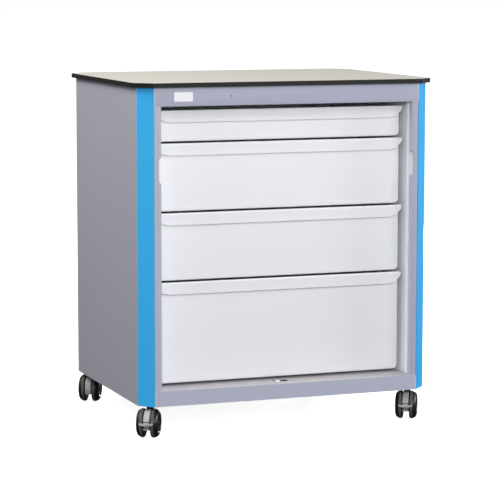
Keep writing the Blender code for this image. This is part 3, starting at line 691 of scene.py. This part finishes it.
def slide_rail(size, side, sign):
    """The drawer's rail with its screws and the black lever that lets the
    drawer off."""
    node = f"slide_rail_{size}_{side}"
    low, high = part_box(node)
    web, tip = (low.x, high.x) if sign > 0 else (high.x, low.x)
    work = bmesh.new()
    prism(work, rolled_section(web, tip - sign * CLEAR, low.z, high.z), "Y", low.y, high.y)
    face, middle = web + sign * SHEET, (low.z + high.z) / 2
    for y in (low.y + RAIL_HEAD, (low.y + high.y) / 2, high.y - RAIL_TAIL):
        screw_head(work, (face, y, middle), (sign, 0, 0))
    steel = len(work.faces)
    lever = [(5, -2.5), (26, -2.5), (33, -6), (44, -6), (46, -4), (44, -2), (30, 3.5), (5, 3.5)]
    outline = [(low.y + y, middle + z) for y, z in millimetres(lever)]
    depth = sorted((face + sign * LEVER_SUNK, face + sign * LEVER_PROUD))
    prism(work, fillet(outline, 0.8 * MM, 3), "X", *depth)
    for face in list(work.faces)[steel:]:
        face.material_index = 1
    piece(f"{node}_steel", work, [ZINC, WHEEL], f"{size}_drawer", [node], 30)


# ------------------------------------------------------------- castors

WHEEL_RADIUS = 31.75 * MM
WHEEL_INNER = 7.2 * MM  # wheel's inner face, from the castor's middle
WEB_RADIUS = 30.2 * MM
WEB_HALF = 6.5 * MM
WEB_FOOT = 20 * MM - WHEEL_RADIUS  # below the axle
TRAIL = 18 * MM
TREAD_STEPS = range(14, 23)  # steps of the wheel's profile that are tread
BOSSES = 5
BOSS_REACH = 12 * MM
BOSS_FACE = 14.4 * MM
BOSS_TURN = 0.3  # of the first boss, in radians
PEDAL_LIFT = 2.4 * MM
PEDAL_NEAR = -37 * MM
PEDAL_FAR = -33.3 * MM
PEDAL_HALF = 16 * MM


def castor_frame(name):
    """Axle's middle and direction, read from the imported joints."""
    joints = {j["name"]: j for j in frame["joints"]}
    left = joints[f"wheel_spin_{name}_left"]
    right = joints[f"wheel_spin_{name}_right"]
    middle = (Vector(left["pos_m"]) + Vector(right["pos_m"])) / 2
    return middle, Vector(left["axis"]).normalized()


def castor_matrix(name):
    """Castor space: X along the axle, Y from the axle towards the stem."""
    middle, axle = castor_frame(name)
    up = Vector((0, 0, 1))
    turn = Matrix((axle, up.cross(axle), up)).transposed().to_4x4()
    return Matrix.Translation(middle) @ turn


def wheel(name, side, sign, matrix):
    """Domed hard shell, a soft tread band, and a dished outer face with
    bosses; the profile holds (radius, distance from the inner face)."""
    profile = [
        (0, 16.1), (5.2, 16.1), (5.9, 15.7), (6.4, 14.9), (17.6, 14.9), (18.6, 15.4),
        (19.4, 16.4), (20.4, 16.95), (22.4, 16.9), (24.8, 16.3), (27.2, 14.9), (29, 13),
        (30.3, 10.6), (30.9, 8.9), (31.0, 8.4), (31.6, 8.3), (31.75, 7.6), (31.75, 6.4),
        (31.35, 6.1), (31.35, 5.7), (31.75, 5.4), (31.75, 3.2), (31.5, 2.6), (30.9, 2.4),
        (30.7, 2.0), (30, 0.9), (28.4, 0.15), (26, 0.05), (4.2, 0.05), (4.2, 12.5), (0, 12.5),
    ]
    finishes = [int(n in TREAD_STEPS) for n in range(len(profile) - 1)]
    stand = Matrix.Translation((sign * WHEEL_INNER, 0, 0)) @ Matrix.Rotation(sign * pi / 2, 4, "Y")
    work = bmesh.new()
    lathe(work, millimetres(profile), 64, matrix @ stand, finishes)
    boss = millimetres([(0, 0.9), (2.2, 0.9), (2.6, 0.5), (2.7, 0), (0, 0)])
    for k in range(BOSSES):
        a = 2 * pi * k / BOSSES + BOSS_TURN
        spot = Matrix.Translation((BOSS_REACH * cos(a), BOSS_REACH * sin(a), BOSS_FACE))
        lathe(work, boss, 16, matrix @ stand @ spot)
    node = f"castor_wheel_{name}_{side}"
    piece(f"{node}_tyre", work, [WHEEL, TREAD], f"wheel_{name}_{side}", [node], 35)


def housing(name, matrix, braked):
    """Web between the wheels, with neck, collar and axle, and a slot for the
    brake's pedal."""
    start = degrees(atan2(WEB_FOOT, sqrt(WEB_RADIUS**2 - WEB_FOOT**2)))
    work = bmesh.new()
    prism(work, arc((0, 0), WEB_RADIUS, start, 180 - start, 48), "X", -WEB_HALF, WEB_HALF)
    shape = loose("web", work)
    stem = Matrix.Translation((0, TRAIL, 0))
    work = bmesh.new()
    lathe(work, millimetres([(0, 30.2), (6.3, 30.2), (6.3, 10), (0, 10)]), 28, stem)
    boolean(shape, loose("neck", work), "UNION")
    if braked:
        slot_low = (-10 * MM, -35 * MM, -7.5 * MM)
        slot_high = (10 * MM, -18.5 * MM, 7.6 * MM)
        work = bmesh.new()
        block(work, slot_low, slot_high)
        boolean(shape, loose("slot", work))
    work = work_again(shape)
    bmesh.ops.dissolve_limit(work, angle_limit=radians(1), verts=work.verts, edges=work.edges)
    collar = millimetres([(0, 34.6), (7.6, 34.6), (8, 34.2), (8, 26.5), (0, 26.5)])
    lathe(work, collar, 28, stem, [1] * 4)
    axle = millimetres([(0, -17.9), (3.8, -17.9), (3.8, 17.9), (0, 17.9)])
    lathe(work, axle, 24, Matrix.Rotation(pi / 2, 4, "Y"))
    bmesh.ops.transform(work, matrix=matrix, verts=work.verts)
    node, edge = f"castor_housing_{name}", (1.3 * MM, 3, 40)
    piece(f"{node}_web", work, [FORK, WHEEL], f"castor_{name}", [node], 35, edge)


def pedal(name, matrix):
    """Brake pedal: a cross-bar with swept-back ends on an arm between the
    wheels."""
    arm_low = (-6.1 * MM, -34.5 * MM, -0.4 * MM)
    arm_high = (6.1 * MM, -20 * MM, 6 * MM)
    work = bmesh.new()
    block(work, arm_low, arm_high)
    bar = [(-16, 2.0), (-15, 3.2), (-8.5, 2.3), (-5, 1.2), (5, 1.2), (8.5, 2.3), (15, 3.2), (16, 2.0)]
    bar += [(16, -0.6), (14.4, -1.6), (7, -2.8), (-7, -2.8), (-14.4, -1.6), (-16, -0.6)]
    outline = [(x, z + PEDAL_LIFT) for x, z in millimetres(bar)]
    front = prism(work, outline, "Y", PEDAL_NEAR, PEDAL_FAR)[0]
    for vert in front.verts:
        vert.co.y += rise(3 * MM, PEDAL_HALF - abs(vert.co.x))
    bmesh.ops.transform(work, matrix=matrix, verts=work.verts)
    node, edge = f"brake_pedal_{name}", (0.7 * MM, 3, 35)
    piece(f"{node}_bar", work, PEDAL, f"pedal_{name}", [node], 35, edge)


def castor(name):
    """Twin wheels and their housing; a front castor has a brake."""
    matrix = castor_matrix(name)
    braked = name.startswith("front")
    for side, sign in SIDES:
        wheel(name, side, sign, matrix)
    housing(name, matrix, braked)
    if braked:
        pedal(name, matrix)


# ------------------------------------------------------------- shutter

SLAT_DEEP = 4 * MM  # half of a slat's thickness
SLAT_GAP = 0.35 * MM  # half of the groove between two slats
SLAT_CHAMFER = 1 * MM
SLAT_END = 0.5 * MM
SLAT_PITCH = 15 * MM
SLAT_COUNT = 41
CURTAIN_FOOT = 2.2 * MM  # foot of the parked slats, above the bar
CURTAIN_BEND = 16 * MM
BAR_HALF = 282 * MM
TONGUE_HALF = 3.9 * MM  # the bar's ends, which run in the guides
TONGUE_INSET = 1.2 * MM


def slat_section(pitch):
    """Profile of a slat: (depth, height) round its outline, crowned on its
    outer face and chamfered behind."""
    half, deep, chamfer = pitch / 2 - SLAT_GAP, SLAT_DEEP, SLAT_CHAMFER
    crown = millimetres([(1.3, 0), (0.35, 0.9), (0, 2.2)])
    outline = [(-deep + inset, -half + along_z) for inset, along_z in crown]
    outline += [(-deep + inset, half - along_z) for inset, along_z in reversed(crown)]
    outline += [(deep - chamfer, half), (deep, half - chamfer)]
    outline += [(deep, -half + chamfer), (deep - chamfer, -half)]
    return outline


def curtain():
    """The stretch between the bar and the top bend: slats that come out
    evenly as the shutter closes, hidden behind the fascia when parked."""
    low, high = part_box("shutter_curtain")
    travel = next(-j["range_m"][0] for j in frame["joints"] if j["name"] == "shutter_slide")
    rest = high.z - low.z
    middle = (low.y + high.y) / 2
    pitch = (travel + rest) / SLAT_COUNT
    work = bmesh.new()
    for n in range(SLAT_COUNT):
        centre = high.z - pitch * (n + 0.5)
        outline = [(middle + d, centre + h) for d, h in slat_section(pitch)]
        prism(work, outline, "X", low.x + SLAT_END, high.x - SLAT_END)
    for vert in work.verts:
        vert.co.z = parked_height(vert.co.z, high.z, rest, travel)
    made = piece("shutter_slats", work, SLAT, None, ["shutter_curtain"], 30)
    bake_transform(made)


def parked_height(z, top, rest, travel):
    """Where a point of the closed curtain lies when it is parked: found by
    halving, as the part of the way that it follows the bar is a smooth
    step."""
    low, high = 0.0, 1.0
    for _ in range(40):
        t = (low + high) / 2
        if rest * t + travel * t * t * (3 - 2 * t) < top - z:
            low = t
        else:
            high = t
    return top - rest * low


def curtain_parked():
    """Slats stored round the track: over the top and down the rear."""
    low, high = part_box("shutter_curtain_parked")
    front, rear = low.y + SLAT_DEEP, high.y - SLAT_DEEP
    bend, top = CURTAIN_BEND, high.z - SLAT_DEEP
    route = [Vector((front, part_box("shutter_bar")[1].z + CURTAIN_FOOT))]
    route += arc((front + bend, top - bend), bend, 180, 90, 12)
    route += arc((rear - bend, top - bend), bend, 90, 0, 12)
    route.append(Vector((rear, low.z)))
    work = bmesh.new()
    for centre, heading in along(route, SLAT_PITCH):
        outward = Vector((-heading.y, heading.x))
        outline = [centre + outward * d + heading * h for d, h in slat_section(SLAT_PITCH)]
        prism(work, outline, "X", low.x + SLAT_END, high.x - SLAT_END)
    replaced = ["shutter_curtain_parked"]
    piece("shutter_slats_parked", work, SLAT, "cabinet", replaced, 30)


def along(route, pitch):
    """Evenly spaced (point, heading) pairs along a polyline."""
    lengths = [(b - a).length for a, b in zip(route, route[1:])]
    total = sum(lengths)
    count = int(total / pitch)
    found = []
    for n in range(count):
        reach = pitch * (n + 0.5)
        for a, b, length in zip(route, route[1:], lengths):
            if reach <= length:
                heading = (b - a).normalized()
                found.append((a + heading * reach, heading))
                break
            reach -= length
    return found


def shutter_bar():
    """The curtain's dark foot, with a tongue at each end."""
    low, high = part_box("shutter_bar")
    middle = (low.y + high.y) / 2
    work = bmesh.new()
    outline = fillet(rectangle(low.y, low.z, high.y, high.z), 1.5 * MM, 3)
    prism(work, outline, "X", -BAR_HALF, BAR_HALF)
    tongue_low = (low.x, middle - TONGUE_HALF, low.z + TONGUE_INSET)
    tongue_high = (high.x, middle + TONGUE_HALF, high.z - TONGUE_INSET)
    block(work, tongue_low, tongue_high)
    edge = (0.4 * MM, 2, 40)
    piece("shutter_bar_section", work, BAR, "shutter", ["shutter_bar"], 35, edge)


# ------------------------------------------------------------- fittings

SCREW_RADIUS = 3.4 * MM
SCREW_PROUD = 1.9 * MM
SCREW_SUNK = 0.2 * MM
BACK_SIDE = 0.297  # the side rows of the rear panel's screws, from the middle
BACK_HEIGHTS = (0.100, 0.260, 0.420, 0.580, 0.732)
BACK_ENDS = (0.087, 0.748)  # the lowest and the highest row
BACK_PLACES = (-0.15, 0, 0.15)
JOINT_SUNK = 0.12 * MM
JOINT_LAP = 0.3 * MM


def screw_head(work, spot, normal):
    """Domed head with a recess, standing out along 'normal'."""
    turn = Vector((0, 0, 1)).rotation_difference(Vector(normal)).to_matrix().to_4x4()
    radius, proud = SCREW_RADIUS, SCREW_PROUD
    profile = [(0, proud * 0.55), (radius * 0.32, proud * 0.6), (radius * 0.36, proud)]
    profile += [(radius * 0.7, proud * 0.93), (radius * 0.93, proud * 0.6)]
    profile += [(radius, 0.1 * MM), (radius, -SCREW_SUNK), (0, -SCREW_SUNK)]
    lathe(work, profile, 20, Matrix.Translation(Vector(spot)) @ turn)


def back_screws():
    _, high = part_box("back_panel")
    spots = [(side * BACK_SIDE, z) for side in (-1, 1) for z in BACK_HEIGHTS]
    spots += [(x, z) for x in BACK_PLACES for z in BACK_ENDS]
    work = bmesh.new()
    for x, z in spots:
        screw_head(work, (x, high.y, z), (0, 1, 0))
    piece("back_panel_screws", work, ZINC, "cabinet", (), 40)


def label():
    """A blank card with rounded corners."""
    low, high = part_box("label_plate")
    work = bmesh.new()
    prism(work, fillet(rectangle(low.x, low.z, high.x, high.z), 1.2 * MM, 4), "Y", low.y, high.y)
    edge = (0.2 * MM, 2, 30)
    piece("label_plate_card", work, CARD, "cabinet", ["label_plate"], 30, edge)


def joint_fillers():
    """Paint bridges the hairline joints of the front frame."""
    work = bmesh.new()
    for side, _ in SIDES:
        low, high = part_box(f"stile_{side}")
        joints = ((high.z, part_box("fascia_rail")[0].z), (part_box("base_pan")[1].z, low.z))
        for below, above in joints:
            near = (low.x + JOINT_LAP, low.y + JOINT_SUNK, below - JOINT_LAP)
            far = (high.x - JOINT_LAP, low.y + 8 * JOINT_SUNK, above + JOINT_LAP)
            block(work, near, far)
    piece("front_frame_joints", work, GREY, "cabinet", ())


# ------------------------------------------------------------- stage

STUDIO_RADIUS = 45.0
DOME_RADIUS = 0.97 * STUDIO_RADIUS
FLOOR_SUNK = 0.2 * MM
NEUTRAL = (1.0, 1.0, 1.0)
COOL = (0.98, 0.99, 1.0)
WARM = (1.0, 0.99, 0.97)
AMBER = (1.0, 0.945, 0.81)
LIGHTS = (  # name, place, size, power, colour
    ("camera_side", (-1.5, -4.2, 1.3), 1.1, 74, NEUTRAL),
    ("near_front", (1.0, -2.3, 1.0), 1.0, 13.5, COOL),
    ("high_front", (-0.2, -4.2, 2.6), 2.0, 45, COOL),
    ("near_left", (-1.8, 0.0, 2.2), 1.2, 41, AMBER),
    ("right_side", (3.9, -1.0, 1.3), 1.6, 90, NEUTRAL),
    ("low_back", (2.4, 3.0, 0.4), 0.7, 75, WARM),
)
LIT_MIDDLE = Vector((0, 0, 0.4))
CAMERA_PLACE = (-1.8201, -4.8659, 1.0206)
CAMERA_AROUND = -20.575  # degrees, from straight ahead
CAMERA_DOWN = 7.135
CAMERA_ROLL = 0.082
CAMERA_LENS = 163.58


def glowing(name, colour, strength):
    """A matt grey that also gives off white light."""
    finish = Paint(name, (colour, colour, colour), 0.8, specular=0.1)
    finish.shader.inputs["Emission Color"].default_value = (1, 1, 1, 1)
    finish.shader.inputs["Emission Strength"].default_value = strength
    finish.mix(finish.noise(0.6, 2.0), (0.99 * colour,) * 3, 0.3)
    return finish.material


def background(name, work, material):
    """Something that only the camera sees: it sends the object no light."""
    made = loose(name, work)
    made.data.materials.append(material)
    made.visible_diffuse = False
    made.visible_glossy = False
    return made


def floor():
    work = bmesh.new()
    bmesh.ops.create_circle(work, cap_ends=True, segments=96, radius=STUDIO_RADIUS)
    made = background("floor", work, glowing("floor_white", 0.90, 0.82))
    made.location.z = -FLOOR_SUNK


def dome():
    work = bmesh.new()
    bmesh.ops.create_uvsphere(work, u_segments=48, v_segments=24, radius=DOME_RADIUS)
    made = background("dome", work, glowing("dome_white", 0.01, 1.0))
    made.visible_shadow = False


def sky():
    """White light from all round, fading out below the horizon."""
    world = bpy.data.worlds.new("studio")
    bpy.context.scene.world = world
    world.use_nodes = True
    tree = world.node_tree
    light = tree.nodes["Background"]
    light.inputs["Color"].default_value = (1, 1, 1, 1)
    height = tree.nodes.new("ShaderNodeSeparateXYZ")
    fade = tree.nodes.new("ShaderNodeMapRange")
    for name, value in (("From Min", -0.15), ("From Max", 0.15), ("To Min", 0.03), ("To Max", 0.46)):
        fade.inputs[name].default_value = value
    tree.links.new(tree.nodes.new("ShaderNodeTexCoord").outputs["Generated"], height.inputs[0])
    tree.links.new(height.outputs["Z"], fade.inputs["Value"])
    tree.links.new(fade.outputs["Result"], light.inputs["Strength"])


def soft_light(name, place, size, power, colour):
    """A square soft box turned towards the cabinet's middle."""
    light = bpy.data.lights.new(name, "AREA")
    light.shape = "SQUARE"
    light.size = size
    light.energy = power
    light.color = colour
    holder = bpy.data.objects.new(name, light)
    bpy.context.scene.collection.objects.link(holder)
    holder.location = place
    holder.visible_camera = False
    holder.rotation_euler = (LIT_MIDDLE - Vector(place)).to_track_quat("-Z", "Y").to_euler()


def stage():
    """A white floor with a faint contact shadow under a white dome, and soft
    light that comes mostly from the front and the upper left."""
    floor()
    dome()
    sky()
    for light in LIGHTS:
        soft_light(*light)


def camera():
    """The photo's camera: far off, to the left and a little above."""
    data = bpy.data.cameras.new("camera")
    data.sensor_width = 36
    data.lens = CAMERA_LENS
    holder = bpy.data.objects.new("camera", data)
    bpy.context.scene.collection.objects.link(holder)
    around = Matrix.Rotation(radians(CAMERA_AROUND), 3, "Z")
    down = Matrix.Rotation(radians(90 - CAMERA_DOWN), 3, "X")
    roll = Matrix.Rotation(radians(CAMERA_ROLL), 3, "Z")
    holder.rotation_euler = (around @ down @ roll).to_euler()
    holder.location = CAMERA_PLACE
    bpy.context.scene.camera = holder


# ------------------------------------------------------------- build


def sheet_work():
    """Panels, front frame, liners, guides and posts keep their CAD solids."""
    for node in ("side_panel_left", "side_panel_right", "back_panel"):
        dress(node, GREY)
    dress("fascia_rail", FASCIA, 0.2 * MM)
    dress("base_pan", PLINTH, 0.4 * MM)
    for side, _ in SIDES:
        dress(f"stile_{side}", STILE[side], 0.2 * MM)
        dress(f"inner_liner_{side}", LINER, 0.3 * MM)
        dress(f"shutter_guide_{side}", GUIDE, 0.5 * MM)
        for end in ("front", "rear"):
            dress(f"corner_post_{end}_{side}", BLUE, 0.5 * MM, 3)


def main():
    camera()
    stage()
    worktop()
    sheet_work()
    dress("strike_cup", BAR, 0.3 * MM)
    dress("strike_stud", STUD, 0.3 * MM)
    for size in DRAWERS:
        drawer(f"drawer_{size}", f"{size}_drawer")
        for side, sign in SIDES:
            slide_channel(size, side, sign)
            slide_rail(size, side, sign)
    for name in CASTORS:
        castor(name)
    for name in CASTORS:
        dress(f"castor_stem_{name}", BLACK_ZINC, 0.3 * MM)
    shutter_bar()
    curtain()
    curtain_parked()
    back_screws()
    joint_fillers()
    label()
    bpy.context.scene.view_settings.view_transform = "Standard"


main()
bpy.context.view_layer.update()
